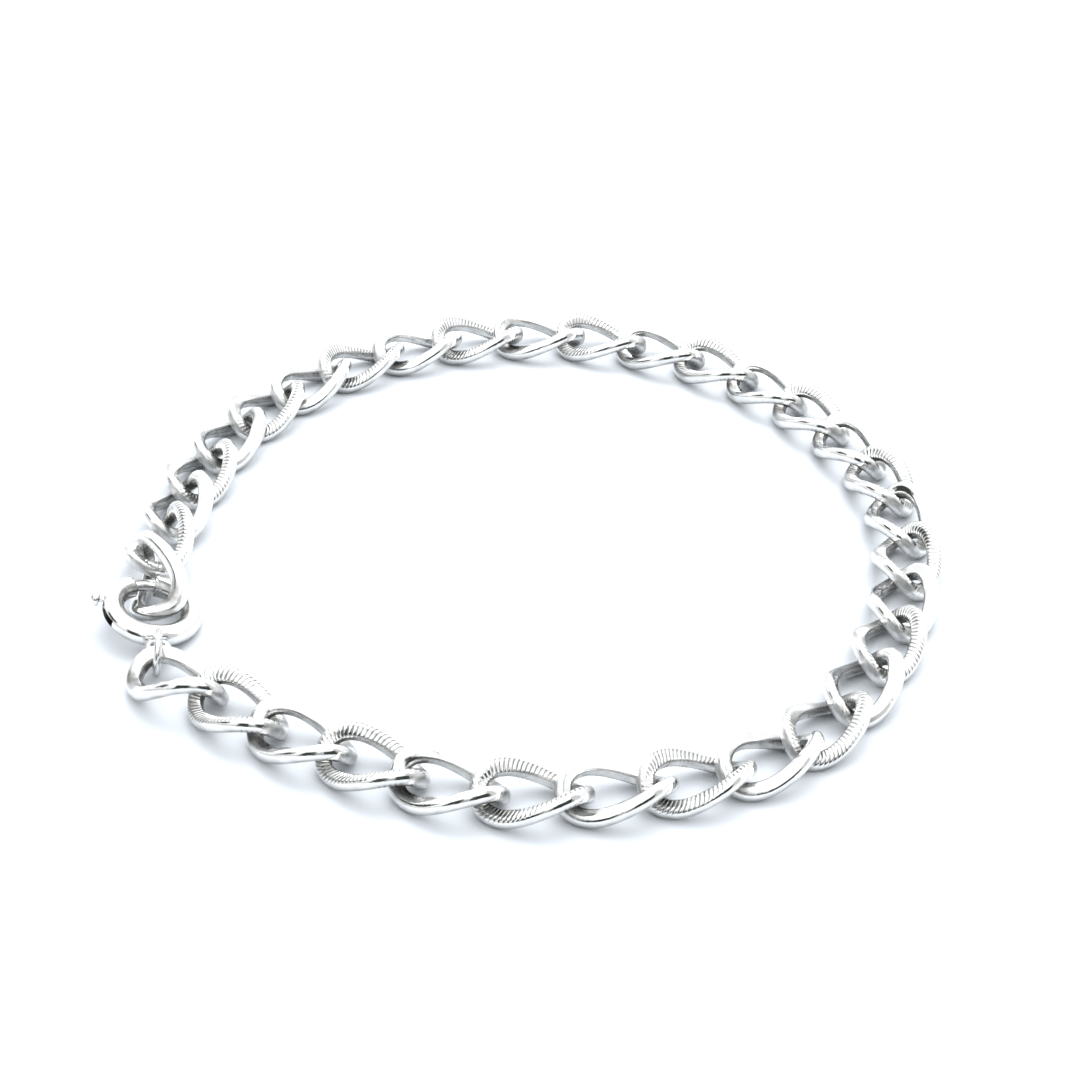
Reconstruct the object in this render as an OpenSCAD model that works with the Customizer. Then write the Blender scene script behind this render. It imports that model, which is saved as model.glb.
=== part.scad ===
// Curb chain bracelet with a spring ring clasp, fastened and lying in a loose oval on a flat surface.
// Lengths are in millimetres and angles in degrees. x runs to the right, y away from the wearer's view
// and z up. z = 0 is the surface that the bracelet lies on.

/* [Chain] */
// How many links the chain has
link_count = 33; // [29:1:36]
// Length of a link over its ends
link_len = 8.1; // [7:0.05:9]
// Width of a link over its two bars, before the twist
link_wide = 5.3; // [5:0.1:6]
// Width of the heavy wire that a link is bent from, from the inner to the outer side
strip_wide = 1.15; // [0.9:0.01:1.2]
// Thickness of the wire over its two cut faces
strip_thick = 1.2; // [0.8:0.01:1.25]
// How far each end of a link is turned out of the flat
link_twist = 50; // [44:1:54]
// Free play between two links that hang in each other
link_play = 0.4; // [0.35:0.05:0.6]
// How square a link's outline is: 2 is an ellipse
link_square = 2.4; // [2.3:0.05:2.8]

/* [Clasp] */
// Outside width of the spring ring
ring_wide = 7.1; // [6.5:0.1:8]
// Thickness of the ring's tube
tube_thick = 1.55; // [1.3:0.05:1.8]
// Thickness of the bolt that slides in the tube
bolt_thick = 0.85; // [0.6:0.05:1]
// Clearance round the bolt in the tube
bolt_clear = 0.06; // [0.03:0.01:0.1]
// Middle of the mouth, counted from the side that faces the first link
mouth_at = 188; // [180:1:195]
// Angle that the mouth is open over when the bolt is drawn back
mouth_open = 34; // [30:1:40]
// Angle that the bolt's tip reaches into the tube past the mouth
bolt_reach = 5; // [3:1:8]
// Angle from the mouth's near edge to the thumb knob
knob_past = 51; // [48:1:60]
// Width of the thumb knob
knob_wide = 1.1; // [0.8:0.1:1.5]
// How far the knob stands out of the tube
knob_out = 0.9; // [0.6:0.1:1.2]
// Clearance at each side of the knob's stem in its slot
slot_clear = 0.08; // [0.05:0.01:0.15]
// Thickness of the soldered eye's wire
eye_wire = 0.42; // [0.38:0.02:0.5]
// Width of the eye's hole
eye_hole = 1.04; // [1:0.02:1.2]
// How far the clasp lies tilted up on the last link, sideways
ring_tilt = 13.4; // [13:0.1:15]
// How far its mouth side lies tilted up
mouth_tilt = 5.2; // [5:0.1:7]

/* [Jump ring] */
// Thickness of the jump ring's wire
jump_wire = 0.54; // [0.4:0.02:0.56]
// Inside width of the jump ring
jump_inside = 2.3; // [2.28:0.02:2.4]

/* [Hidden] */
$fn = 48;
// Colour of the polished metal
silver = [0.87, 0.88, 0.9];
// Colour of the cut links, whose lines hold a little tarnish
cut_silver = [0.8, 0.8, 0.79];

// The wire's section: shares of its half width, + outward, and of its half thickness.
section = [
    [-1, -0.4],
    [0.1, -1],
    [1, -0.5],
    [1, 0.5],
    [0.1, 1],
    [-1, 0.4]
];
// Where a quarter of a link's outline has its corners, from the middle of the end to the middle of the bar
quarter = [0, 14, 32, 58];
// All corners of the outline
corners = concat(
    quarter,
    [90],
    [for (i = [3 : -1 : 1]) 180 - quarter[i]],
    [for (q = quarter) 180 + q],
    [270],
    [for (i = [3 : -1 : 1]) 360 - quarter[i]]
);
link_sides = len(corners);

// The chain's route: the distances of its control points from the middle of the loop, at even angles
// round it from the clasp on, against the clock. The whole route is scaled to the chain's length.
route_r = [28.4, 27.9, 25.8, 27.2, 27.1, 28.9, 27.7, 28.4, 30.5, 32.1, 34.5, 35.2, 34.0, 31.5, 28.7, 27.6];
// Angle of the first control point
route_start = 197;
// Middle of the loop's control points
route_mid = [-0.26, -3.75];

// Links that lie turned beside the clasp. The place counts from the clasp's eye, or backwards from the
// link that the clasp holds. Roll is about the link's length, pitch lifts its leading end and turn is
// about z. Ahead and aside move it along the route and to its left, as shares of the link's length.
// [place, roll, pitch, turn, ahead, aside]
own_lie = [
    [1, -12.4, -6.8, 20.8, 0.0605, -0.134],
    [-4, 0, 0, 0, 0, 0.0244],
    [-3, 5.2, -1, -0.4, 0, 0.0373],
    [-2, 20.1, -1.7, -3.4, 0.0043, 0.0379],
    [-1, 57.3, 7.6, 7.4, -0.0208, 0.0451]
];

half_len = (link_len - strip_wide) / 2;
half_wide = (link_wide - strip_wide) / 2;
pitch = link_len - 2 * strip_wide - link_play;
tube_r = tube_thick / 2;
ring_r = ring_wide / 2 - tube_r;
bore_r = bolt_thick / 2 + bolt_clear;
// The last link lies in the ring, and the first beyond the eye and the jump ring.
last_gap = ring_r - link_len * 0.0352;
first_gap = ring_wide / 2 + eye_hole + link_len * 0.4025;

// A share with a sign, raised to a power.
function bent(v, p) = sign(v) * pow(abs(v), p);

// Middle line of a link's wire at angle t, in the flat.
function link_mid(t) = [half_len * bent(cos(t), 2 / link_square), half_wide * bent(sin(t), 2 / link_square)];

// Outward direction of that line.
function link_out(t) =
    let (p = link_mid(t), q = link_square - 1)
    let (n = [bent(p[0] / half_len, q) / half_len, bent(p[1] / half_wide, q) / half_wide])
    n / norm(n);

// Turns a point about x by an angle that grows along the link.
function twisted(p) =
    let (a = -link_twist * p[0] / (link_len / 2))
    [p[0], p[1] * cos(a) - p[2] * sin(a), p[1] * sin(a) + p[2] * cos(a)];

// All points of a link, one ring of the section after another.
link_points = [
    for (i = [0 : link_sides - 1])
        let (m = link_mid(corners[i]), n = link_out(corners[i]))
        for (s = section)
            let (u = s[0] * strip_wide / 2)
            twisted([m[0] + u * n[0], m[1] + u * n[1], s[1] * strip_thick / 2])
];
section_sides = len(section);
link_faces = [
    for (i = [0 : link_sides - 1], j = [0 : section_sides - 1])
        let (a = i * section_sides, b = (i + 1) % link_sides * section_sides, k = (j + 1) % section_sides)
        for (f = [[a + j, b + j, b + k], [a + j, b + k, a + k]]) [f[2], f[1], f[0]]
];

// Height of a point that is rolled about x and pitched about y.
function lying_z(p, roll, lift) = -sin(lift) * p[0] + cos(lift) * (p[1] * sin(roll) + p[2] * cos(roll));

// How high a link's middle is when its lowest point touches the surface.
function seat(roll, lift) = -min([for (p = link_points) lying_z(p, roll, lift)]);

// Point of the closed route at u, which counts control points. It is a uniform cubic B-spline.
route_n = len(route_r);
function control(i) =
    let (k = (i + route_n) % route_n, a = route_start + 360 * k / route_n)
    route_r[k] * [cos(a), sin(a)];
function route_raw(u) =
    let (i = floor(u), f = u - i)
    (pow(1 - f, 3) * control(i - 1)
        + (3 * pow(f, 3) - 6 * pow(f, 2) + 4) * control(i)
        + (-3 * pow(f, 3) + 3 * pow(f, 2) + 3 * f + 1) * control(i + 1)
        + pow(f, 3) * control(i + 2)) / 6;

// The route as short steps, and the length run at each step.
steps = 12 * route_n;
raw = [for (i = [0 : steps]) route_raw(i * route_n / steps % route_n)];
raw_run = [for (i = 0, s = 0; i <= steps; i = i + 1, s = s + (i > steps ? 0 : norm(raw[i] - raw[i - 1]))) s];
route_len = first_gap + (link_count - 1) * pitch + last_gap;
route_scale = route_len / raw_run[steps];
run_x = [for (i = [0 : steps]) [raw_run[i] * route_scale, raw[i][0] * route_scale + route_mid[0]]];
run_y = [for (i = [0 : steps]) [raw_run[i] * route_scale, raw[i][1] * route_scale + route_mid[1]]];

// Place on the route, and the way it heads there, at the length s from the clasp's middle.
function at(s) = [lookup(s, run_x), lookup(s, run_y)];
function along(s) = let (d = at(s + pitch / 4) - at(s - pitch / 4)) atan2(d[1], d[0]);

// A link's own lie beside the clasp, or none.
function lie(i) =
    let (rows = [for (r = own_lie) if (r[0] == i || r[0] == i - link_count - 1) r])
    len(rows) > 0 ? rows[0] : [i, 0, 0, 0, 0, 0];

function link_name(i) = str("link_", i < 10 ? "0" : "", i);

// The clasp lies with its y axis back along the chain, and its tilt lifts its left side.
clasp_mid = at(0);
clasp_turn = let (d = at(pitch / 4) - at(route_len - pitch / 4)) atan2(d[1], d[0]) + 90;
clasp_up = ring_r * sqrt(1 - pow(cos(ring_tilt) * cos(mouth_tilt), 2)) + tube_r;
eye_at = -90;
mouth_from = eye_at + mouth_at - mouth_open / 2;
mouth_to = mouth_from + mouth_open;
knob_at = mouth_to + knob_past;
knob_travel = mouth_open + bolt_reach;
stem_r = 0.2;
eye_r = (eye_hole + eye_wire) / 2;
eye_mid = ring_wide / 2 + eye_hole / 2;

module link(i) {
    own = lie(i);
    s = first_gap + (i - 1) * pitch;
    way = along(s);
    ahead = own[4] * link_len;
    aside = own[5] * link_len;
    p = at(s) + ahead * [cos(way), sin(way)] + aside * [-sin(way), cos(way)];
    color(i % 2 == 0 ? cut_silver : silver)
        translate([p[0], p[1], seat(own[1], own[2])])
            rotate([own[1], own[2], way + own[3]])
                polyhedron(link_points, link_faces);
}

// Puts its children in the clasp's own frame: z is the ring's axis.
module in_clasp() {
    translate([clasp_mid[0], clasp_mid[1], clasp_up])
        rotate([mouth_tilt, ring_tilt, clasp_turn])
            children();
}

// A round bar bent about z, from one angle to another.
module bent_bar(bend_r, bar_r, from, to) {
    rotate_extrude(angle = to - from, start = from)
        translate([bend_r, 0])
            circle(r = bar_r, $fn = 24);
}

module clasp_ring() {
    color(silver)
        in_clasp()
            union() {
                difference() {
                    bent_bar(ring_r, tube_r, mouth_to, mouth_from + 360);
                    bore();
                    slot();
                }
                rotate([0, 0, eye_at])
                    translate([eye_mid, 0, 0])
                        rotate_extrude()
                            translate([eye_r, 0])
                                circle(d = eye_wire, $fn = 16);
            }
}

// The tube's bore runs from the mouth past the bolt's drawn back end, and a little way in at the other side.
module bore() {
    bent_bar(ring_r, bore_r, mouth_to - 1, knob_at + knob_travel + 12);
    bent_bar(ring_r, bore_r, mouth_from - bolt_reach - 3, mouth_from + 1);
}

// The knob's stem runs in a slot through the tube's outer wall.
module slot() {
    stem_wide = 2 * (stem_r + slot_clear);
    stem_angle = asin((stem_r + slot_clear) / ring_r);
    rotate_extrude(angle = knob_travel + 2 * stem_angle, start = knob_at - stem_angle)
        translate([ring_r, -stem_wide / 2])
            square([ring_wide / 2 - ring_r + 0.2, stem_wide]);
}

module clasp_bolt() {
    color(silver)
        in_clasp()
            union() {
                bent_bar(ring_r, bolt_thick / 2, mouth_from - bolt_reach, knob_at + 8);
                rotate([0, 0, knob_at])
                    translate([ring_r, 0, 0])
                        rotate([0, 90, 0])
                            knob();
            }
}

// A stem with a domed button on its end, standing up from the bolt's middle.
module knob() {
    top = tube_r + knob_out;
    under = tube_r + 0.25;
    rotate_extrude()
        polygon([
            [0, 0],
            [stem_r, 0],
            [stem_r, under],
            [knob_wide / 2 - 0.1, under],
            [knob_wide / 2, under + 0.12],
            [knob_wide / 2, under + 0.28],
            [knob_wide / 2 - 0.15, top - 0.12],
            [knob_wide / 4, top],
            [0, top]
        ]);
}

// The jump ring stands on the surface, a little aslant, through the clasp's eye and the first link.
jump_r = (jump_inside + jump_wire) / 2;
jump_way = -82.5;
jump_lean = -7.4;
jump_slack = 0.04;
jump_up = jump_r * cos(jump_lean) + jump_wire / 2;
eye_off = eye_mid * [-sin(mouth_tilt) * sin(ring_tilt), -cos(mouth_tilt), -sin(mouth_tilt) * cos(ring_tilt)];
eye_plan = clasp_mid + [
    eye_off[0] * cos(clasp_turn) - eye_off[1] * sin(clasp_turn),
    eye_off[0] * sin(clasp_turn) + eye_off[1] * cos(clasp_turn)
];
jump_reach = sqrt(pow(jump_r - jump_slack, 2) - pow(jump_up - clasp_up - eye_off[2], 2));

module jump_ring() {
    color(silver)
        translate([
            eye_plan[0] + jump_reach * cos(jump_way),
            eye_plan[1] + jump_reach * sin(jump_way),
            jump_up
        ])
            rotate([90 + jump_lean, 0, jump_way])
                rotate_extrude()
                    translate([jump_r, 0])
                        circle(d = jump_wire, $fn = 16);
}

for (i = [1 : link_count]) link(i);
clasp_ring();
clasp_bolt();
jump_ring();
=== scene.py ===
# %% [markdown]
# # A silver curb chain bracelet with a spring ring clasp
# The bracelet lies fastened in a loose oval on a pale table. It has thirty-three links, each bent from
# heavy wire and twisted, so that all of them lie flat in a row. Two sides of each wire are cut to
# smooth faces, and every second link has fine lines across them. A spring ring clasp holds the last
# link, and a small jump ring joins the clasp to the first. The solid model gives each piece its place
# and size. This lesson makes each of them again with the finer form that polished metal needs, because
# a mirror shows every facet.

# %% The solid model
import math

import bmesh
import bpy
import numpy as np
from mathutils import Matrix, Vector


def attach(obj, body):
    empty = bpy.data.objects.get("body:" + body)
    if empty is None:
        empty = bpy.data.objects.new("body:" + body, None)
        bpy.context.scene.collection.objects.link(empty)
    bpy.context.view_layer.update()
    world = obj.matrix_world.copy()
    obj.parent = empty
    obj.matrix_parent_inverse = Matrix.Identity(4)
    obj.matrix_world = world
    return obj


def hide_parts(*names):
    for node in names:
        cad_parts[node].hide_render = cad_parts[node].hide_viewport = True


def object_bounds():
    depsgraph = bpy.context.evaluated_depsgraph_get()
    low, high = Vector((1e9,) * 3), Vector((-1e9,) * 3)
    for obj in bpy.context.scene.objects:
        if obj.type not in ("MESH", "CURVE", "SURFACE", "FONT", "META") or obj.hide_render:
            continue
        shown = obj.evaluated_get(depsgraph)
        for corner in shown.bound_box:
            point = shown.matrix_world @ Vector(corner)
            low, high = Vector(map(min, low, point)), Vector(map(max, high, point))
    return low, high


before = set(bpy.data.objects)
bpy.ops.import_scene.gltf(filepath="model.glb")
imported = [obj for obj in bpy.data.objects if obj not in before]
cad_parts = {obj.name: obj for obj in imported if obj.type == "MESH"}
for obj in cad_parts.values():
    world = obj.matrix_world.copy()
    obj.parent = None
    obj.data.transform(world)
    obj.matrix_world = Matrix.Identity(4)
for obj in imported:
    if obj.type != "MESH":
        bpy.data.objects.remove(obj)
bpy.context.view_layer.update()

MM = 0.001
link_names = sorted(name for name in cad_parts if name.startswith("link_"))

# %% [markdown]
# ## The camera
# The photograph was taken from the front, about 34 degrees above the table and close to the bracelet,
# with a long lens and a slight tilt to one side. A camera can be turned by hand until the picture
# fits, but here its place was worked out from the positions of the links in the photograph. So it is
# given as the point that it looks at, its distance, its height angle and its roll.

# %% The camera
LOOK_AT = Vector((0.78, -1.12, 1.2)) * MM
DISTANCE = 161.355 * MM
HEIGHT_ANGLE = math.radians(34.222)
ROLL = math.radians(1.707)
FILM_WIDE = 36  # millimetres
LENS_REACH, PICTURE_WIDE = 2148.26, 1080  # both in pixels of the photograph

ahead = Vector((0, math.cos(HEIGHT_ANGLE), -math.sin(HEIGHT_ANGLE)))
over = Vector((0, math.sin(HEIGHT_ANGLE), math.cos(HEIGHT_ANGLE)))
right = Vector((1, 0, 0))
side = right * math.cos(ROLL) + over * math.sin(ROLL)
top = over * math.cos(ROLL) - right * math.sin(ROLL)

camera = bpy.data.objects.new("Camera", bpy.data.cameras.new("Camera"))
bpy.context.scene.collection.objects.link(camera)
turn = Matrix((side, top, -ahead)).transposed().to_4x4()
camera.matrix_world = Matrix.Translation(LOOK_AT - ahead * DISTANCE) @ turn
camera.data.sensor_width = FILM_WIDE
camera.data.lens = FILM_WIDE * LENS_REACH / PICTURE_WIDE
camera.data.clip_start, camera.data.clip_end = 0.005, 20
bpy.context.scene.camera = camera
print("camera at", [round(v / MM, 1) for v in camera.matrix_world.translation], "mm, lens",
      round(camera.data.lens, 1), "mm")

# %% [markdown]
# ## Shader sums
# A procedural finish is a sum: so much wear here, so much tarnish there. Written with nodes alone it
# is hard to read, so a wire between two nodes gets a small class of its own. Adding, taking away or
# multiplying wires then places the Math nodes, and one function places any other node. Colours are
# mixed by a Mix node, as a Math node would turn them grey.

# %% Wires and nodes
class Wire:
    """What comes out of a shader node. Sums of wires and numbers add Math nodes."""

    def __init__(self, tree, socket):
        self.tree, self.socket = tree, socket

    def other(self, name):
        """Another output of the same node."""
        return Wire(self.tree, self.socket.node.outputs[name])

    def sum(self, kind, a, b):
        return place(self.tree, "ShaderNodeMath", {"operation": kind}, {0: a, 1: b})

    def __add__(self, other):
        return self.sum("ADD", self, other)

    def __sub__(self, other):
        return self.sum("SUBTRACT", self, other)

    def __mul__(self, other):
        return self.sum("MULTIPLY", self, other)

    def __rsub__(self, other):
        return self.sum("SUBTRACT", other, self)

    __radd__, __rmul__ = __add__, __mul__


def place(tree, kind, settings, sockets, out=0):
    """Adds a node: its settings first, then its sockets' values or wires. Returns an output."""
    node = tree.nodes.new(kind)
    for name, value in settings.items():
        setattr(node, name, value)
    for name, value in sockets.items():
        if isinstance(value, Wire):
            tree.links.new(value.socket, node.inputs[name])
        else:
            node.inputs[name].default_value = value
    return Wire(tree, node.outputs[out]) if node.outputs else None


def smooth(value, low, high):
    """0 below low, 1 above high and a soft step between."""
    kind = {"interpolation_type": "SMOOTHSTEP"}
    sockets = {"Value": value, "From Min": low, "From Max": high}
    return place(value.tree, "ShaderNodeMapRange", kind, sockets)


def mixed(share, first, second):
    """A colour between two others."""
    ends = {"Factor": share, 6: first, 7: second}
    return place(share.tree, "ShaderNodeMix", {"data_type": "RGBA"}, ends, 2)


print("wires ready")

# %% [markdown]
# ## Silver
# Polished silver is a mirror, and what makes it look real is what disturbs the mirror: the slight
# waves left by bending and polishing, fine scratches along the wire, places rubbed dull where the
# links hang in each other, and grey tarnish. Shade is painted into the colour as well, where a face
# mirrors the shadowed table or dark things near it: on faces that look down, on inner sides, in the
# cut lines and where links cover each other. Each piece carries that information itself: a map of the
# distances along and round its wire, and two values at each point of the mesh, "rub" where it is worn
# and "shade", which holds both its tarnish and the painted shade. Painted pictures could do the
# same, but patterns worked out from numbers stay sharp however near the eye comes. One function makes
# every finish from the same sum, with its own amounts.

# %% Silver
SILVER_LIGHT, SILVER_GREY = (0.91, 0.91, 0.905, 1), (0.84, 0.84, 0.83, 1)
TARNISH_AND_SHADE = (0.10, 0.098, 0.085, 1)
BUMP_STEP = 0.05 * MM


def silver(name, waves, tarnish_and_shade_strength):
    """A procedural silver. waves is how uneven the polish is, tarnish_and_shade_strength how dark the
    shade value makes it, where it is tarnished and where shade is painted.
    """
    metal = bpy.data.materials.new(name)
    metal.use_nodes = True
    tree = metal.node_tree
    shader = tree.nodes["Principled BSDF"]
    shader.inputs["IOR"].default_value = 1.5

    def feed(socket, wire):
        tree.links.new(wire.socket, shader.inputs[socket])

    def noise(vector, scale, detail=2.0):
        sockets = {"Vector": vector, "Scale": scale, "Detail": detail}
        return place(tree, "ShaderNodeTexNoise", {}, sockets)

    where = place(tree, "ShaderNodeTexCoord", {}, {}, "Object")
    strip = place(tree, "ShaderNodeUVMap", {"uv_map": "strip"}, {})
    rub = place(tree, "ShaderNodeAttribute", {"attribute_name": "rub"}, {}, "Fac")
    shade = place(tree, "ShaderNodeAttribute", {"attribute_name": "shade"}, {}, "Fac")

    def streaks(along, across):
        scales = {0: strip, 1: (along, across, 1)}
        return place(tree, "ShaderNodeVectorMath", {"operation": "MULTIPLY"}, scales)

    # Cloudy patches of polish, brushing along the wire, single hairlines, and pits.
    blotches = smooth(noise(where, 900, 4), 0.38, 0.66)
    fine = noise(streaks(0.5, 14), 1.0, 3)
    hair = smooth(noise(streaks(0.16, 30), 1.0, 1), 0.62, 0.72)
    pits = smooth(noise(where, 5200, 2), 0.60, 0.70)

    # The shade value mixes the dark colour in: tarnish on some parts, and painted shade where a face
    # lies in shadow or mirrors dark things.
    shade_share = shade * (0.65 + 0.35 * blotches)
    clean = mixed(blotches, SILVER_LIGHT, SILVER_GREY)
    feed("Base Color", mixed(shade_share * tarnish_and_shade_strength, clean, TARNISH_AND_SHADE))
    rough = 0.05 + 0.05 * blotches + 0.06 * fine + 0.10 * hair
    feed("Roughness", rough + rub * 0.18 + shade_share * 0.20)
    shader.inputs["Metallic"].default_value = 1.0

    # Dents and marks are heights in the same unit, which the Bump node turns into a tilt of the light.
    dents = noise(where, 560, 1) * waves + noise(where, 2300, 1) * (waves * 0.6)
    marks = fine * 0.004 - hair * 0.008 - pits * (0.03 + rub * 0.10)
    height = dents + marks + rub * noise(where, 4800, 3) * 0.20
    sockets = {"Height": height, "Distance": BUMP_STEP, "Strength": 1.0}
    feed("Normal", place(tree, "ShaderNodeBump", {}, sockets))
    return metal


polished = silver("Polished silver", 0.46, 0.95)
cut = silver("Cut silver", 0.40, 0.95)
bright = silver("Clasp silver", 0.16, 0.80)
print("finishes:", [m.name for m in (polished, cut, bright)])

# %% [markdown]
# ## One link's wire
# A link begins as heavy silver wire, bent into a ring that is nearly an oval, squarer than an ellipse.
# Its middle line is a superellipse. The wire was round, and the maker has cut it: flat on the inner
# side, and sloping on the two faces above and below. Only the outer side is still round. A smooth
# curve near a short table of points gives this section, in shares of half the width and thickness.
# Blender's own curves can carry a section along a line too, but they do not say where each ring of
# points comes to lie, and the cut lines will need that. So the wire is worked out in numbers.

# %% The wire's sizes and section
LINK_LEN, LINK_WIDE = 8.1 * MM, 5.3 * MM
STRIP_WIDE, STRIP_THICK = 1.15 * MM, 1.2 * MM
LINK_TWIST, LINK_SQUARE = math.radians(50), 2.4
SECTION_POINTS = 32

SECTION = [
    (-1, 0), (-1, -0.28), (-0.99, -0.46), (-0.86, -0.61), (-0.45, -0.78), (0.1, -1.01), (0.58, -0.88),
    (0.89, -0.60), (1.0, -0.2), (1.0, 0.2), (0.89, 0.60), (0.58, 0.88), (0.1, 1.01), (-0.45, 0.78),
    (-0.86, 0.61), (-0.99, 0.46), (-1, 0.28),
]


def section_curve(table, count, fine=24):
    """Smooths a closed table of points into count points at even distances (a cubic B-spline)."""
    p = np.array(table, float)
    f = np.linspace(0, 1, fine, endpoint=False)[:, None]
    parts = []
    for i in range(len(p)):
        a, b, c, d = (p[(i + k - 1) % len(p)] for k in range(4))
        parts.append(((1 - f) ** 3 * a + (3 * f**3 - 6 * f**2 + 4) * b
                      + (-3 * f**3 + 3 * f**2 + 3 * f + 1) * c + f**3 * d) / 6)
    line = np.concatenate(parts)
    run = np.append(0, np.cumsum(np.linalg.norm(np.roll(line, -1, 0) - line, axis=1)))
    at = np.linspace(0, run[-1], count, endpoint=False)
    closed = np.vstack([line, line[:1]])
    return np.stack([np.interp(at, run, closed[:, k]) for k in (0, 1)], -1)


section = section_curve(SECTION, SECTION_POINTS)
print("section points:", len(section))

# %% The middle line
HALF_LEN, HALF_WIDE = (LINK_LEN - STRIP_WIDE) / 2, (LINK_WIDE - STRIP_WIDE) / 2
WIRE_STEPS = 4096


def bent(value, power):
    """A power that keeps the sign."""
    return np.sign(value) * np.abs(value) ** power


def middle_line(t):
    """Points of the middle line, and its outward directions, at the angles t."""
    x = HALF_LEN * bent(np.cos(t), 2 / LINK_SQUARE)
    y = HALF_WIDE * bent(np.sin(t), 2 / LINK_SQUARE)
    out = np.stack([bent(x / HALF_LEN, LINK_SQUARE - 1) / HALF_LEN,
                    bent(y / HALF_WIDE, LINK_SQUARE - 1) / HALF_WIDE], -1)
    return np.stack([x, y], -1), out / np.linalg.norm(out, axis=-1, keepdims=True)


# The wire's length from its start to each of many angles, so that any distance gives its angle.
steps = np.linspace(-math.pi / 2, 1.5 * math.pi, WIRE_STEPS + 1)
run = np.append(0, np.cumsum(np.linalg.norm(np.diff(middle_line(steps)[0], axis=0), axis=1)))
around = run[-1]
print("wire length", round(around / MM, 2), "mm")

# %% [markdown]
# ## From rings of points to a skin
# Chains, tubes and wires are all swept: a section is carried along a line, and neighbouring rings are
# joined by four-sided faces. Faces of even size shade smoothly, so no subdivision is needed. The
# map keeps millimetres along and round the wire. It has its one seam where the ring closes, which is
# where a real link is soldered.

# %% Wear, and painted shade on faces that look down
UNDERSIDE_SHADE = 0.65  # painted shade on a face that looks straight down


def ramp(value, start, end):
    """0 at start, 1 at end, even between them and level beyond. start may be above end."""
    return np.clip((value - start) / (end - start), 0, 1)


def keep_wear_and_shade(mesh, values):
    """Keeps rub and shade at each point. Faces that look down get painted shade, for the shadowed
    table that they mirror.
    """
    facing = np.zeros(len(mesh.vertices) * 3)
    mesh.vertex_normals.foreach_get("vector", facing)
    # Painted shade on faces that look down, which mirror the table in its own shadow.
    painted_down_shade = ramp(facing[2::3], 0.35, -0.55) * UNDERSIDE_SHADE
    for key, least in (("rub", 0.0), ("shade", painted_down_shade)):
        layer = mesh.attributes.new(key, "FLOAT", "POINT")
        layer.data.foreach_set("value", np.maximum(values[key], least).astype(np.float32))


def volume_sign(points, faces):
    """Above 0 where the faces look outwards, and below 0 where they look inwards."""
    a, b, c, d = (points[faces[:, k]] for k in range(4))
    return float((np.cross(a, b) * c).sum() + (np.cross(a, c) * d).sum())


print("an underside is", UNDERSIDE_SHADE, "shade_share")

# %% A skin over rings
def skin(name, rings, along, metal, values, closed=True):
    """A mesh over rings of points (n, m, 3). along has a distance for each, and one more if closed."""
    n, m = rings.shape[:2]
    i, j = np.meshgrid(np.arange(n if closed else n - 1), np.arange(m), indexing="ij")
    corner_i = np.stack([i, i + 1, i + 1, i], -1).reshape(-1, 4)
    corner_j = np.stack([j, j, j + 1, j + 1], -1).reshape(-1, 4)
    faces = (corner_i % n) * m + corner_j % m
    gap = np.linalg.norm(np.roll(rings[0], -1, 0) - rings[0], axis=1)
    round_it = np.append(0, np.cumsum(gap))
    if volume_sign(rings.reshape(-1, 3), faces) < 0:
        faces, corner_i, corner_j = faces[:, ::-1], corner_i[:, ::-1], corner_j[:, ::-1]

    mesh = bpy.data.meshes.new(name)
    mesh.from_pydata(rings.reshape(-1, 3).tolist(), [], faces.tolist())
    strip = mesh.uv_layers.new(name="strip")
    places = np.stack([np.asarray(along)[corner_i.ravel()], round_it[corner_j.ravel()]], -1) / MM
    strip.uv.foreach_set("vector", places.astype(np.float32).ravel())
    keep_wear_and_shade(mesh, {key: np.broadcast_to(value, (n, m)).ravel() for key, value in values.items()})
    mesh.shade_smooth()
    mesh.materials.append(metal)
    piece = bpy.data.objects.new(name, mesh)
    bpy.context.scene.collection.objects.link(piece)
    return piece


print("skin ready")

# %% [markdown]
# ## A plain link
# The flat ring is twisted about its own length, so that its two ends turn out of the flat and the
# links nest in a row. Each ring of the wire is turned by an angle that grows along the link. A Simple
# Deform modifier could twist a flat ring as well, but here the turn is one line of sums, and the rings
# stay known. The solid model's link tells where this one lies: its middle, and the three directions
# in which its surface is spread most, next and least.

# %% Building a link
def twisted(points):
    """Points turned about the link's length, one way at one end and the other way at the other."""
    angle = -LINK_TWIST * points[..., 0] / (LINK_LEN / 2)
    y = points[..., 1] * np.cos(angle) - points[..., 2] * np.sin(angle)
    z = points[..., 1] * np.sin(angle) + points[..., 2] * np.cos(angle)
    return np.stack([points[..., 0], y, z], -1)


def wire_rings(share, high, slant):
    """Rings round a link's wire at shares of its length. high has the section heights of each ring.
    slant is how far the outer side lags behind the inner side, so that the rings lean."""
    reach = section[:, 0] * STRIP_WIDE / 2
    at = (share[:, None] * around - slant * (section[:, 0] + 1) / 2) % around
    line, out = middle_line(np.interp(at, run, steps))
    flat = line + out * reach[:, None]
    return twisted(np.stack([flat[..., 0], flat[..., 1], high * STRIP_THICK / 2], -1))


print("rings of", len(section), "points, twisted by", round(math.degrees(LINK_TWIST)), "degrees")

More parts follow.
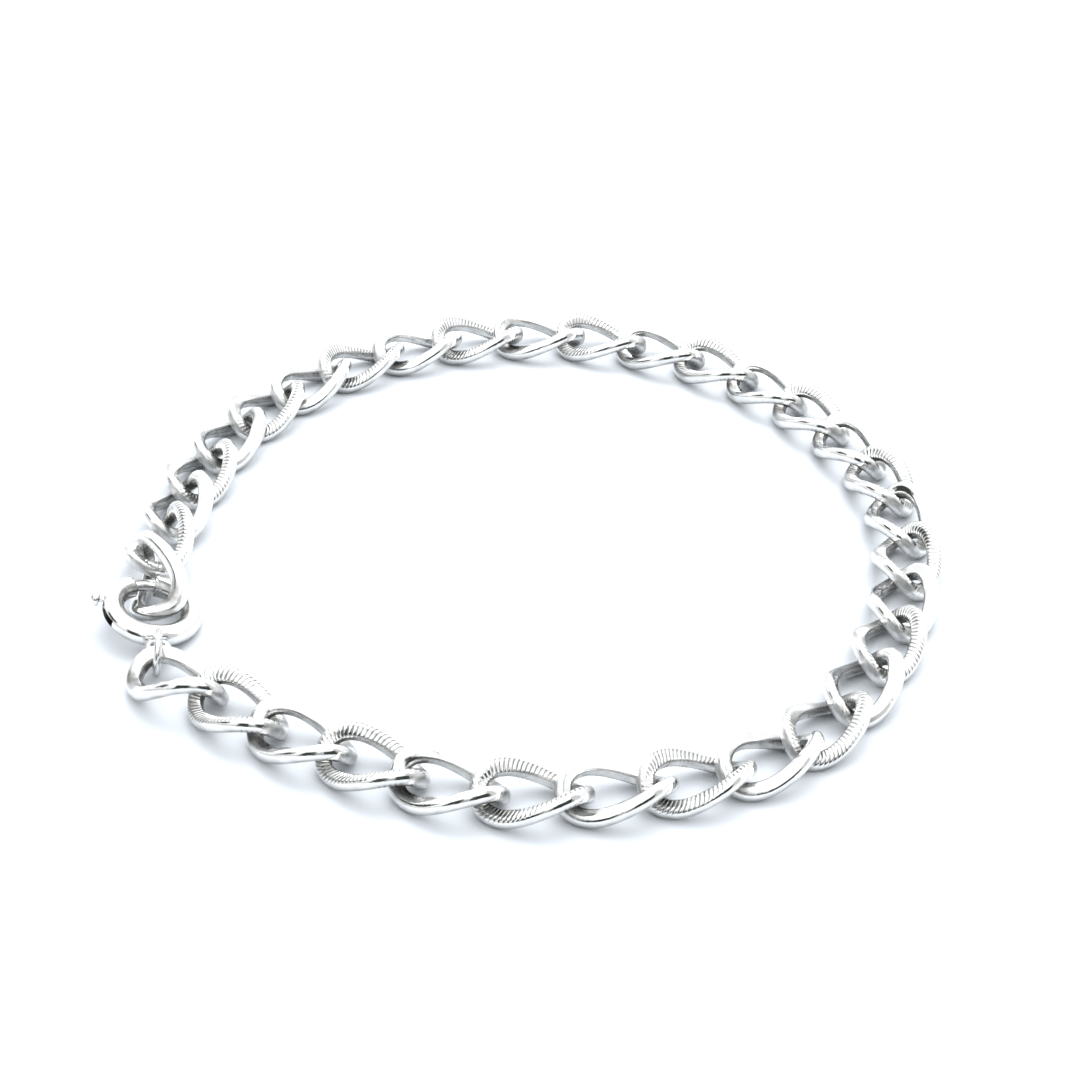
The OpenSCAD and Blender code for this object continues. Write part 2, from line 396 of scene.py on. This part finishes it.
# %% Where the solid model's piece lies
def spread(node):
    """A solid piece's middle and its three directions, widest spread first, as a matrix."""
    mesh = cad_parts[node].data
    mesh.calc_loop_triangles()
    points = np.array([v.co for v in mesh.vertices])
    tri = points[np.array([t.vertices for t in mesh.loop_triangles])]
    area = np.linalg.norm(np.cross(tri[:, 1] - tri[:, 0], tri[:, 2] - tri[:, 0]), axis=1) / 2
    middle = (tri.mean(1) * area[:, None]).sum(0) / area.sum()
    tri = tri - middle
    total = tri.sum(1)
    tensor = np.einsum("n,nki,nkj->ij", area, tri, tri)
    tensor = tensor + np.einsum("n,ni,nj->ij", area, total, total)
    return middle, np.linalg.eigh(tensor)[1][:, ::-1].T


def link_place(node):
    """The link's own frame: x along it, y across it towards the inside of the loop, z up."""
    middle, (x, y, z) = spread(node)
    y = y if np.dot(y[:2], middle[:2]) < 0 else -y
    z = z if z[2] > 0 else -z
    return middle, np.stack([np.cross(y, z), y, z])


middle, axes = link_place("link_08")
print("link_08 at", np.round(middle / MM, 2), "mm, heading", np.round(axes[0], 3))

# %% [markdown]
# ## Lines cut across a link
# Every second link has fine lines cut across its faces with a graver, about three to a millimetre.
# They stand out as bright lands and grey grooves. A bump texture would do from afar, but its edge
# would stay smooth, so the lines are cut into the mesh: four rings of points for each line, two on the
# land and two in the groove. The lines lean, so the rings lean with them: the outer side of each lags
# behind the inner side. The cutter runs out where the outer side turns down. At the worn ends of a
# link the lines are shallower.

# %% Cutting the lines
LINE_PITCH, LINE_DEPTH, LINE_LEAN = 0.305 * MM, 0.035 * MM, 0.42 * MM
LINE_STEPS = [(0.0, 0.0), (0.48, 0.0), (0.64, 1.0), (0.84, 1.0)]  # shares of the pitch, and depth
line_count = round(around / LINE_PITCH)


def cut_strip():
    """All rings' shares of the length, their angles, and how deep the cutter goes at each."""
    share, deep = np.array([
        ((k + part) / line_count, deep) for k in range(line_count) for part, deep in LINE_STEPS]).T
    t = np.interp(share * around, run, steps)
    return share, t, deep * (1 - 0.5 * ramp(np.abs(np.cos(t)), 0.80, 1.0))


def cutter_runs_out(u):
    """1 on the cut faces, and 0 on the rounding of the outer side."""
    return ramp(u, 0.86, 0.70)


def cut_heights(deep):
    """Section heights with the lines cut in, above and below."""
    u, v = section.T
    share = ramp(np.abs(v), 0.42, 0.52) * cutter_runs_out(u)
    return v - np.sign(v) * share * deep[:, None] * LINE_DEPTH / (STRIP_THICK / 2)


print("lines on a cut link:", line_count)

# %% [markdown]
# ## The chain
# An Array modifier could repeat one link along a curve, but each of the thirty-three has to lie
# exactly over its own solid, so they are made one by one. They differ a little, as hand-finished
# links do: the map of each starts elsewhere, so no two show the same scratches. Shade is painted on
# the inner side, in the cut lines, as a dark reflection along the inner top edge, and as the shadow
# of the next link where it covers the face, with some tarnish there. The outer side of both ends is
# rubbed dull and painted grey, as it mirrors the shadowed table and the next link. Each link replaces
# its solid and rides on the chain.

# %% Wear and painted shade on a link
def link_wear_and_shade(t, deep):
    """Where a link is rubbed, and where shade is painted on it, for each point of its rings."""
    u, v = section[:, 0][None, :], section[:, 1][None, :]
    to_end = np.abs(np.cos(t))[:, None]
    end = ramp(to_end, 0.92, 0.98)
    outer, inner = ramp(u, 0.55, 0.90), ramp(u, -0.82, -0.94)
    inner_edge = (u < -0.78) & (np.abs(v) > 0.4) & (np.abs(v) < 0.68)
    groove = np.where(np.abs(v) > 0.42, deep[:, None] * cutter_runs_out(u), 0)
    # The next link lies over one face at each end: above on one side of the middle, and below on
    # the other. That face gets a painted shadow of the next link, with some tarnish.
    next_side = np.clip(0.35 + 2.4 * (np.cos(t) * np.sin(t))[:, None] * np.sign(v), 0, 1)
    covered = next_side * ramp(to_end, 0.42, 0.82) * ramp(u, 0.75, 0.55)
    # Painted shade: on the inner side, darkest at the ends; a painted dark reflection along the inner
    # top edge; in the grooves; where the next link covers the face; and on the outer side of the ends,
    # which mirrors the shadowed table.
    spots = (0.42 + 0.5 * end) * inner, 0.85 * inner_edge, 0.9 * groove, covered, 0.55 * end * outer
    shade = np.maximum.reduce(np.broadcast_arrays(*spots))
    return {"rub": np.clip(end * outer + 0.35 * inner, 0, 1), "shade": shade}


print("wear is worked out for", len(section), "points of each ring")

# %% The thirty-three links
PLAIN_RINGS = 168
MAP_SHIFT = 31 * MM
LINE_CORNER = math.radians(38)  # the lines' corners are sharper than this, and the wire's are not

even = np.linspace(0, 1, PLAIN_RINGS, endpoint=False)
plain_wire = (even, np.interp(even * around, run, steps), np.zeros(PLAIN_RINGS))
cut_wire = cut_strip()
links = []
for number, node in enumerate(link_names, 1):
    plain = number % 2 == 1
    share, t, deep = plain_wire if plain else cut_wire
    rings = wire_rings(share, cut_heights(deep), 0 if plain else LINE_LEAN)
    middle, axes = link_place(node)
    along = np.append(share, 1) * around + number * MAP_SHIFT
    metal = polished if plain else cut
    link = skin(f"fine_{node}", rings @ axes + middle, along, metal, link_wear_and_shade(t, deep))
    if not plain:
        link.data.set_sharp_from_angle(angle=LINE_CORNER)
    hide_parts(node)
    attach(link, "chain")
    links.append(link)
print("link triangles:", sum(2 * len(link.data.polygons) for link in links))

# %% [markdown]
# ## The spring ring
# The clasp is a ring of tube with a mouth. A bolt slides inside it, pushed shut by a spring, and its
# thumb knob sticks out through a slot. A Boolean modifier could cut the mouth and the slot, but it
# leaves long thin faces that spoil a polished shine. So the tube is swept twice, outside and inside,
# and the faces over the slot are left out of both skins. As both have the same rings, each wall
# between them is a row of faces between matching points.

# %% Sizes of the clasp
CLASP_PLACE = Matrix.Translation(Vector((-26.54, -11.8046, 1.46307)) * MM)
for angle, axis in ((16.2772, "Z"), (13.4, "Y"), (5.2, "X")):
    CLASP_PLACE = CLASP_PLACE @ Matrix.Rotation(math.radians(angle), 4, axis)
RING_R, TUBE_R, BORE_R, BOLT_R = 2.775 * MM, 0.775 * MM, 0.485 * MM, 0.425 * MM
MOUTH_FROM, MOUTH_TO = 81, 115
KNOB_AT, KNOB_TRAVEL, SLOT_HALF = 166, 39, 0.28 * MM
SLOT_SPARE = math.degrees(math.asin(SLOT_HALF / RING_R))


def clasp_frame(points):
    """Points from the clasp's own frame to the table's."""
    turn = np.array(CLASP_PLACE.to_3x3())
    return np.asarray(points) @ turn.T + np.array(CLASP_PLACE.translation)


def swept(angles, bend, bar, turns):
    """Rings of round sections about z. angles are the rings' places in degrees, bar is their radius or
    a radius for each, and turns are the angles of a section's points in radians."""
    a = np.radians(angles)[:, None]
    bar = np.broadcast_to(bar, (len(angles),))[:, None]
    r = bend + bar * np.cos(turns)[None, :]
    z = np.broadcast_to(bar * np.sin(turns)[None, :], r.shape)
    return np.stack([r * np.cos(a), r * np.sin(a), z], -1)


def whole_turn(count):
    """Even angles once round, in radians."""
    return np.linspace(0, 2 * math.pi, count, endpoint=False)


print("clasp at", [round(v / MM, 2) for v in CLASP_PLACE.translation], "mm")

# %% The tube's rings
SLOT_EDGE = 3  # faces from the tube's outer side to the slot's edge
LIP_RADII = [TUBE_R - 0.06 * MM, TUBE_R - 0.018 * MM]  # the mouth's rounded edge
slot_from, slot_to = KNOB_AT - SLOT_SPARE, KNOB_AT + KNOB_TRAVEL + SLOT_SPARE
# A ring about every three degrees, and closer ones along the slot and where the mouth's edge rounds.
tube_angles = np.concatenate([
    [MOUTH_TO, MOUTH_TO + 0.5, MOUTH_TO + 1.4], np.arange(MOUTH_TO + 4, slot_from - 1, 3),
    np.linspace(slot_from, slot_to, 22), np.arange(slot_to + 2.5, MOUTH_FROM + 356, 3),
    [MOUTH_FROM + 358.6, MOUTH_FROM + 359.5, MOUTH_FROM + 360],
])
first, last = np.searchsorted(tube_angles, [slot_from - 1e-6, slot_to - 1e-6])


def turns_for(radius, count=44):
    """Section angles with a point on either edge of the slot."""
    lip = math.asin(SLOT_HALF / radius)
    rest = np.linspace(lip, math.pi, count // 2 - SLOT_EDGE + 1)[1:]
    half = np.concatenate([np.linspace(0, lip, SLOT_EDGE + 1), rest])
    return np.concatenate([half, 2 * math.pi - half[-2:0:-1]])


outer_bar = np.full(len(tube_angles), TUBE_R)
outer_bar[[0, -1]], outer_bar[[1, -2]] = LIP_RADII
outer = swept(tube_angles, RING_R, outer_bar, turns_for(TUBE_R))
bore = swept(tube_angles, RING_R, BORE_R, turns_for(BORE_R))
print("tube rings:", len(outer), "slot from", round(slot_from), "to", round(slot_to), "degrees")

# %% The tube's faces, with its mouth and slot
def tube_faces_of(n, m):
    """Faces over both skins of n rings and m points, and the walls of the mouth and the slot."""
    def beside_slot(j):
        return j < SLOT_EDGE or j >= m - SLOT_EDGE

    faces = []
    for i in range(n - 1):
        for j in range(m):
            if first <= i < last and beside_slot(j):
                continue
            a, b = i * m + j, (i + 1) * m + j
            c, d = (i + 1) * m + (j + 1) % m, i * m + (j + 1) % m
            faces += [(a, b, c, d), tuple(n * m + k for k in (d, c, b, a))]
    for j in range(m):
        k = (j + 1) % m
        for i in (0, n - 1):
            wall = (i * m + j, i * m + k, n * m + i * m + k, n * m + i * m + j)
            faces.append(wall if i == 0 else wall[::-1])
        if beside_slot(j):
            for i in (first, last):
                wall = (i * m + j, n * m + i * m + j, n * m + i * m + k, i * m + k)
                faces.append(wall[::-1] if i == first else wall)
    for i in range(first, last):
        for j in (SLOT_EDGE, m - SLOT_EDGE):
            wall = (i * m + j, (i + 1) * m + j, n * m + (i + 1) * m + j, n * m + i * m + j)
            faces.append(wall if j == SLOT_EDGE else wall[::-1])
    return faces


tube_points = np.concatenate([outer.reshape(-1, 3), bore.reshape(-1, 3)])
tube_faces = tube_faces_of(*outer.shape[:2])
print("tube faces:", len(tube_faces))

# %% [markdown]
# ## The eye and its solder
# A small wire ring is soldered to the tube opposite the mouth, and the jump ring hangs in it. The
# wire is a torus, and the solder has drawn itself into a soft saddle between the wire and the tube.
# Metaballs could melt the two together, but would swell the wire. So the saddle is a squashed ball of
# faces that reaches a little into both, as solder does.

# %% One piece from several parts
CLASP_CORNER = math.radians(40)
TURN_LENGTH = 0.05  # millimetres of the map for each degree round the clasp


def ring_faces(n, m, closed=True):
    """Faces between rings, which close on themselves, or have a flat cap at each end."""
    rows = range(n if closed else n - 1)
    faces = [(i * m + j, (i + 1) % n * m + j, (i + 1) % n * m + (j + 1) % m, i * m + (j + 1) % m)
             for i in rows for j in range(m)]
    return faces if closed else faces + [tuple(range(m)), tuple((n - 1) * m + j for j in range(m))]


def join_mesh(name, parts, metal, values):
    """One piece from several lists of points and faces, in the clasp's frame. values has rub and
    shade for every point."""
    points = np.concatenate([p for p, _ in parts])
    starts = np.cumsum([0] + [len(p) for p, _ in parts])
    faces = [tuple(int(k) + int(s) for k in f) for s, (_, fs) in zip(starts, parts) for f in fs]
    mesh = bpy.data.meshes.new(name)
    mesh.from_pydata(clasp_frame(points).tolist(), [], faces)
    fix = bmesh.new()
    fix.from_mesh(mesh)
    bmesh.ops.recalc_face_normals(fix, faces=fix.faces)
    fix.to_mesh(mesh)
    fix.free()
    keep_wear_and_shade(mesh, values)
    strip = mesh.uv_layers.new(name="strip")
    corners = np.array([loop.vertex_index for loop in mesh.loops])
    angle = np.degrees(np.arctan2(points[:, 1], points[:, 0])) % 360
    places = np.stack([angle[corners] * TURN_LENGTH, points[corners, 2] / MM], -1)
    strip.uv.foreach_set("vector", places.astype(np.float32).ravel())
    mesh.shade_smooth()
    mesh.set_sharp_from_angle(angle=CLASP_CORNER)
    mesh.materials.append(metal)
    piece = bpy.data.objects.new(name, mesh)
    bpy.context.scene.collection.objects.link(piece)
    return piece


print("parts can be joined")

# %% The eye and the solder
EYE_MID, EYE_R, EYE_WIRE = 4.07 * MM, 0.73 * MM, 0.42 * MM
EYE_RINGS, EYE_SIDES = 64, 20
SOLDER_HALF = 0.66 * MM, 0.18 * MM, 0.26 * MM  # half its size across, outwards and up
SOLDER_MID = RING_R + TUBE_R - 0.08 * MM
SOLDER_RINGS, SOLDER_SIDES = 11, 24

eye_angles = np.linspace(0, 360, EYE_RINGS, endpoint=False)
eye = swept(eye_angles, EYE_R, EYE_WIRE / 2, whole_turn(EYE_SIDES)).reshape(-1, 3)
eye = np.stack([eye[:, 1], eye[:, 0], -eye[:, 2]], -1) + np.array([0, -EYE_MID, 0])

down = np.linspace(0, math.pi, SOLDER_RINGS + 2)[1:-1]
turns = whole_turn(SOLDER_SIDES)
solder = np.stack([
    np.outer(np.sin(down), np.cos(turns)) * SOLDER_HALF[0],
    np.outer(np.cos(down), np.ones(SOLDER_SIDES)) * SOLDER_HALF[1] - SOLDER_MID,
    np.outer(np.sin(down), np.sin(turns)) * SOLDER_HALF[2],
], -1).reshape(-1, 3)
print("eye points:", len(eye), "solder points:", len(solder))

# %% The spring ring
skin_size = len(tube_points) // 2
from_axis = np.hypot(tube_points[:skin_size, 0], tube_points[:skin_size, 1])
inner_side = from_axis < RING_R - 0.35 * TUBE_R


def each(*pairs):
    """One list of values from pairs of a value, or an array, and how many points have it."""
    return np.concatenate([np.broadcast_to(value, count) for value, count in pairs])


rub = each((0.0, 2 * skin_size), (0.2, len(eye)), (0.5, len(solder)))
# Painted shade on the tube's inner side and all through its bore; the eye and the solder are
# tarnished.
shade = each((inner_side, skin_size), (1.0, skin_size), (0.4, len(eye)), (0.45, len(solder)))
parts = [(tube_points, tube_faces), (eye, ring_faces(EYE_RINGS, EYE_SIDES)),
         (solder, ring_faces(SOLDER_RINGS, SOLDER_SIDES, False))]
spring_ring = join_mesh("spring_ring", parts, bright, {"rub": rub, "shade": shade})
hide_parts("clasp_ring")
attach(spring_ring, "chain")
print("spring ring faces:", len(spring_ring.data.polygons))

# %% [markdown]
# ## The bolt and its thumb knob
# The bolt is a bent bar with a rounded tip, seen in the mouth and through the slot. The knob stands
# on it: a thin stem and a domed button, turned on a lathe. Blender's Screw modifier turns such forms
# from an outline. Here the outline is a short table of radii and heights, carried round its axis, with
# small steps at the edges so that they catch the light. Bolt and knob move as one, so they are one
# piece.

# %% The bolt's bar
BAR_SIDES = 28
BOLT_TIP = np.array([-5, -4.4, -3, 0])  # degrees past the mouth's edge
BOLT_HEEL = np.array([6, 7.6, 8])  # degrees past the knob
bolt_angles = np.concatenate([
    MOUTH_FROM + BOLT_TIP, np.arange(MOUTH_FROM + 3, KNOB_AT + 6, 3), KNOB_AT + BOLT_HEEL])
bolt_bar = np.full(len(bolt_angles), BOLT_R)
bolt_bar[[0, -1]], bolt_bar[[1, -2]] = BOLT_R * 0.70, BOLT_R * 0.90  # both ends are rounded
bar = swept(bolt_angles, RING_R, bolt_bar, whole_turn(BAR_SIDES)).reshape(-1, 3)
print("bolt from", bolt_angles[0], "to", bolt_angles[-1], "degrees")

# %% The knob, and both as one piece
KNOB_SIDES = 36
KNOB = [  # radius, and height over the bolt's middle, in millimetres
    (0.2, 0.0), (0.2, 0.98), (0.24, 1.02), (0.44, 1.03), (0.52, 1.07), (0.55, 1.15), (0.55, 1.28),
    (0.52, 1.38), (0.44, 1.50), (0.34, 1.60), (0.20, 1.65), (0.07, 1.673),
]
knob = np.array([
    [(RING_R + high * MM, wide * MM * math.cos(a), wide * MM * math.sin(a))
     for a in whole_turn(KNOB_SIDES)] for wide, high in KNOB]).reshape(-1, 3)
cos_k, sin_k = math.cos(math.radians(KNOB_AT)), math.sin(math.radians(KNOB_AT))
x, y, z = knob.T
knob = np.stack([x * cos_k - y * sin_k, x * sin_k + y * cos_k, z], -1)

parts = [(bar, ring_faces(len(bolt_angles), BAR_SIDES, False)),
         (knob, ring_faces(len(KNOB), KNOB_SIDES, False))]
rub = each((0.25, len(bar)), (0.35, len(knob)))
bolt = join_mesh("sliding_bolt", parts, bright, {"rub": rub, "shade": rub * 0.6})
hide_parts("clasp_bolt")
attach(bolt, "bolt")
print("bolt faces:", len(bolt.data.polygons))

# %% [markdown]
# ## The jump ring
# A jump ring is cut from a coil of round wire, opened sideways to thread it and pressed shut again.
# It could be Blender's own torus, apart from its joint, the fine line where the two cut ends meet. The
# sweep makes that too: a narrow ring of points, pulled in a little. The solid model's jump ring tells
# where it stands.

# %% The jump ring
JUMP_R, JUMP_WIRE = 1.42 * MM, 0.54 * MM
JOINT_DEEP, JOINT_EDGE = 0.045 * MM, 0.012 * MM
middle, directions = spread("jump_ring")
# A ring of points about every five degrees, with the joint at 0 and closer ones beside it.
jump_angles = np.concatenate([[0, 0.6, 1.2, 3], np.arange(6, 355, 5), [357, 358.8, 359.4]])
jump_bar = np.full(len(jump_angles), JUMP_WIRE / 2)
jump_bar[0] -= JOINT_DEEP
jump_bar[[1, -1]] -= JOINT_EDGE
rings = swept(jump_angles, JUMP_R, jump_bar, whole_turn(BAR_SIDES))
if directions[0][2] < 0:
    directions[0] *= -1
directions[2] = np.cross(directions[0], directions[1])
along = np.radians(np.append(jump_angles, 360)) * JUMP_R
near_joint = np.minimum(jump_angles, 360 - jump_angles)[:, None]
wear = {"rub": np.where(near_joint < 8, 0.5, 0.15), "shade": np.where(near_joint < 1, 1.0, 0.28)}
jump_ring = skin("fine_jump_ring", rings @ directions + middle, along, bright, wear)
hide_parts("jump_ring")
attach(jump_ring, "chain")
print("jump ring faces:", len(jump_ring.data.polygons))

# %% [markdown]
# ## The table and the light
# The bracelet lies on a plain white table in a light tent, so that almost everything it mirrors is
# white. What draws its form is the little that is not white: dark cards low in front, either side of
# the camera, which show as short dark lines on the rounded sides, a dark card at the left, which the
# clasp mirrors, and grey ones beside them. The table ends just in front of the bracelet, as the near
# sides mirror its edge. The cards could be planes round the table, but they would stand in the way of
# other views. So the tent and its cards are the world's own light, worked out from the direction
# alone. A large soft lamp behind and above throws the faint shadows forward.

# %% The table
TABLE_CORNERS = [(-1.5, -0.062), (1.5, -0.062), (1.5, 1.5), (-1.5, 1.5)]


def matt_paint(name, colour, rough):
    """A plain paint with faint clouds in it."""
    coat = bpy.data.materials.new(name)
    coat.use_nodes = True
    tree = coat.node_tree
    shader = tree.nodes["Principled BSDF"]
    where = place(tree, "ShaderNodeTexCoord", {}, {}, "Object")
    cloud = place(tree, "ShaderNodeTexNoise", {}, {"Vector": where, "Scale": 30.0, "Detail": 3.0})
    darker = tuple(c * 0.985 for c in colour[:3]) + (1,)
    tree.links.new(mixed(cloud, colour, darker).socket, shader.inputs["Base Color"])
    shader.inputs["Roughness"].default_value = rough
    shader.inputs["Specular IOR Level"].default_value = 0.2
    return coat


table_mesh = bpy.data.meshes.new("Table")
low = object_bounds()[0][2]
table_mesh.from_pydata([(x, y, low) for x, y in TABLE_CORNERS], [], [(0, 1, 2, 3)])
table_mesh.materials.append(matt_paint("White table", (0.69, 0.72, 0.755, 1), 0.5))
table = bpy.data.objects.new("Table", table_mesh)
bpy.context.scene.collection.objects.link(table)
print("table laid at", round(low / MM, 3), "mm")

# %% The cards in the tent
tent = bpy.data.worlds.new("Light tent")
bpy.context.scene.world = tent
tent.use_nodes = True
tree = tent.node_tree
tree.nodes.clear()
way = place(tree, "ShaderNodeTexCoord", {}, {}, "Generated")
east = place(tree, "ShaderNodeSeparateXYZ", {}, {0: way})
north, up = east.other("Y"), east.other("Z")
compass = place(tree, "ShaderNodeMath", {"operation": "ARCTAN2"}, {0: north, 1: east})
compass = compass * math.degrees(1)
SIDE_FADE = 3  # degrees over which a card's side edges fade, either way
FOOT_FADE, HEAD_FADE = (0.01, 0.015), 0.03  # the same for its lower and upper edge, as sines


def cards(table):
    """How much of each direction is card. The table has where each starts and ends, in degrees of the
    compass, the sines of the heights of its lower and upper edge, and how dense it is."""
    total = 0
    for start, end, foot, head, dense in table:
        wide = (smooth(compass, start - SIDE_FADE, start + SIDE_FADE)
                * (1 - smooth(compass, end - SIDE_FADE, end + SIDE_FADE)))
        high = (smooth(up, foot - FOOT_FADE[0], foot + FOOT_FADE[1])
                * (1 - smooth(up, head - HEAD_FADE, head + HEAD_FADE)))
        total = total + dense * wide * high
    return total


# A card behind the compass's jump from 180 to -180 degrees is in the table twice, once for each side.
dark = cards([
    (-129, -100, -0.4, 0.47, 1), (-81, -38, -0.4, 0.46, 1), (-101, -80, -0.4, 0.30, 0.6),
    (-190, -158, 0.26, 0.52, 1), (168, 190, 0.26, 0.52, 1)])
grey = cards([(-43, -18, -0.2, 0.8, 1), (-186, -125, -0.2, 0.16, 1), (160, 186, -0.2, 0.16, 1)])
print("nodes for the cards:", len(tree.nodes))

# %% The tent's light
CLOTH_LOW, CLOTH_TOP = (1.12, 1.14, 1.16, 1), (2.1, 2.13, 2.16, 1)
CARD_GREY, CARD_DARK = (0.70, 0.71, 0.70, 1), (0.045, 0.052, 0.043, 1)
BACKDROP = (1.05, 1.05, 1.05, 1)
cloth = mixed(smooth(up, 0.35, 1.0), CLOTH_LOW, CLOTH_TOP)
room = mixed(dark, mixed(grey, cloth, CARD_GREY), CARD_DARK)
seen = place(tree, "ShaderNodeLightPath", {}, {}, "Is Camera Ray")
shown = mixed(seen, room, BACKDROP)
glow = place(tree, "ShaderNodeBackground", {}, {"Color": shown, "Strength": 1.0})
place(tree, "ShaderNodeOutputWorld", {}, {"Surface": glow})
print("nodes in the tent:", len(tree.nodes))

# %% The lamp and the picture
lamp = bpy.data.objects.new("Softbox", bpy.data.lights.new("Softbox", "AREA"))
lamp.data.shape, lamp.data.size, lamp.data.size_y = "RECTANGLE", 0.34, 0.26
lamp.data.energy, lamp.data.color = 0.90, (0.97, 0.985, 1.0)
lamp.location = (0.07, 0.15, 0.36)
lamp.rotation_euler = (Vector((0, 0, 0)) - lamp.location).to_track_quat("-Z", "Y").to_euler()
bpy.context.scene.collection.objects.link(lamp)

view = bpy.context.scene.view_settings
view.view_transform, view.look, view.exposure = "Standard", "None", 0.0
print("lamp", round(lamp.data.energy, 2), "W")
